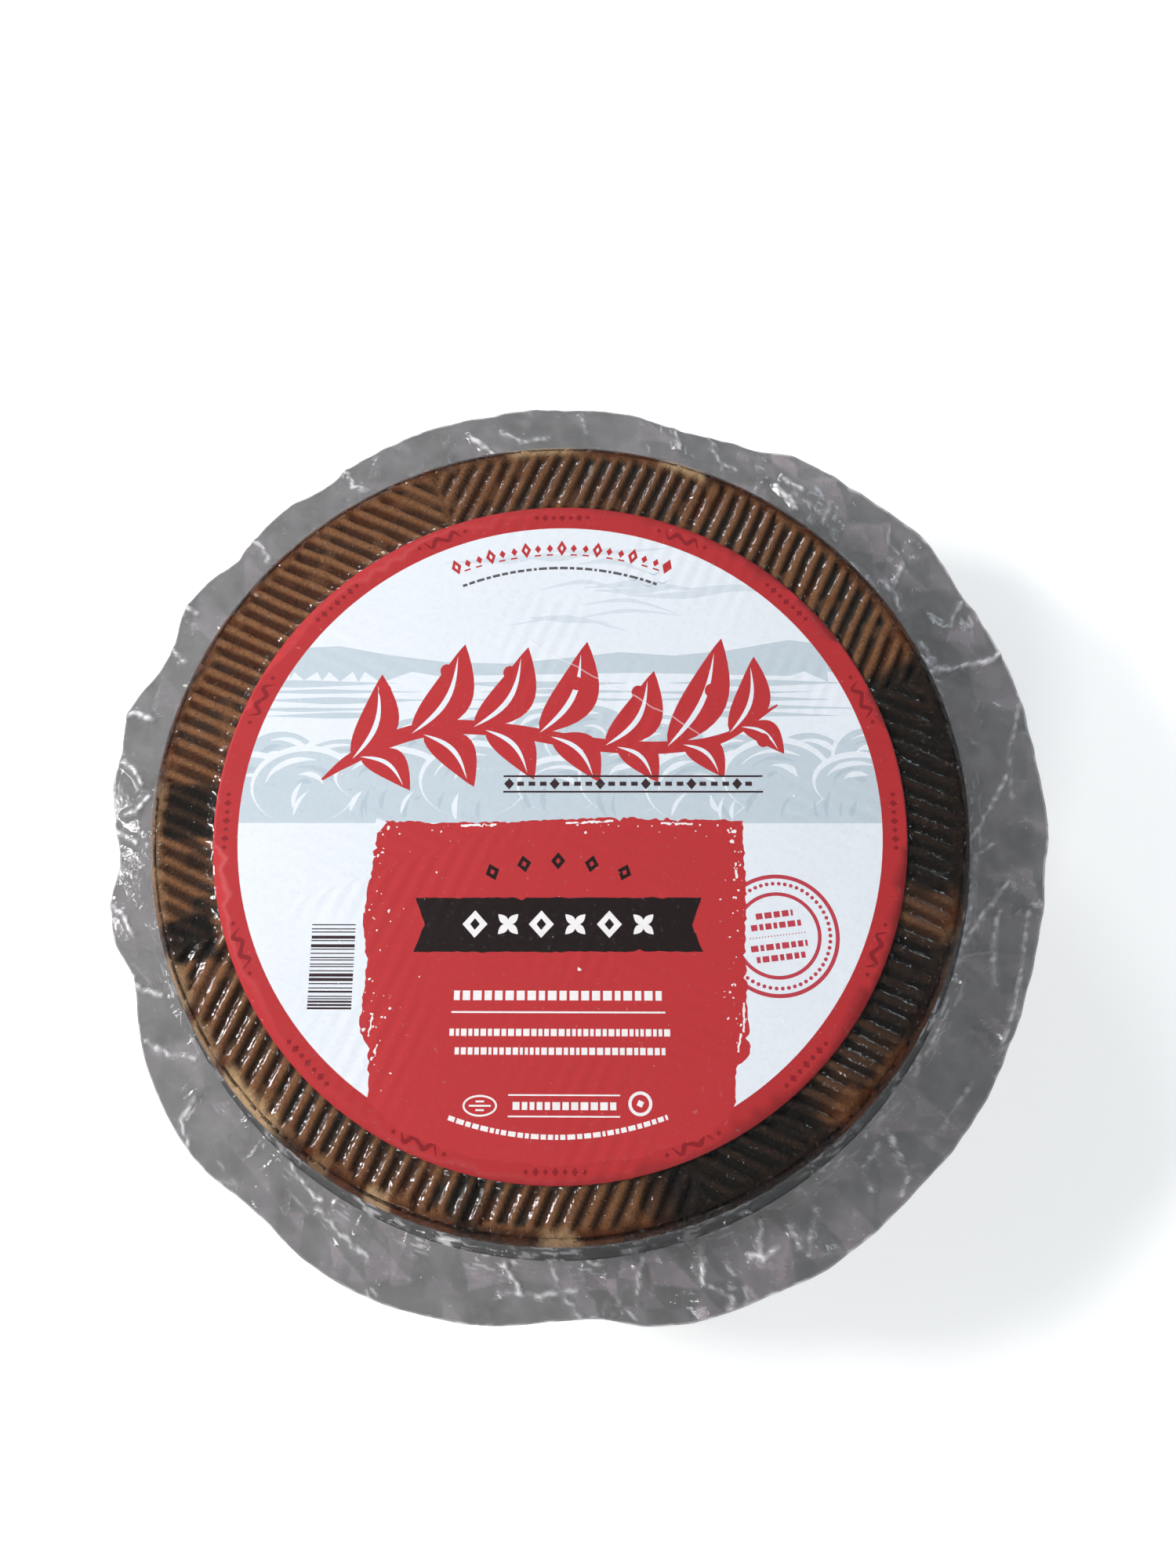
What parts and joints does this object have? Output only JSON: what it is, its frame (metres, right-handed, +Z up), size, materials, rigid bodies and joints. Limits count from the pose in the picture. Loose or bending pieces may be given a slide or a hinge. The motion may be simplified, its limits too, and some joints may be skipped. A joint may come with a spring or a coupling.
{
  "type": "vacuum-packed cheese wheel",
  "caption": "Pressed cheese wheel with a ridged mould-marked brown rind and a round paper label, vacuum packed in clear film with a wavy sealed flange.",
  "frame": {"origin": "centre of the flat underside the pack stands on, on the wheel's axis", "axes": "+Z up along the wheel's axis; -Y towards the lower edge of the label"},
  "size_m": [0.2534, 0.2522, 0.0872],
  "materials": {
    "film_lower": "gloss",
    "rind": "satin",
    "label_paper": "satin",
    "film_upper": "gloss",
    "film_seal": "gloss"
  },
  "bodies": {
    "root": {"lower_film": "film_lower", "cheese_wheel": "rind", "label": "label_paper", "upper_film": "film_upper", "seal_flange": "film_seal"}
  },
  "joints": []
}
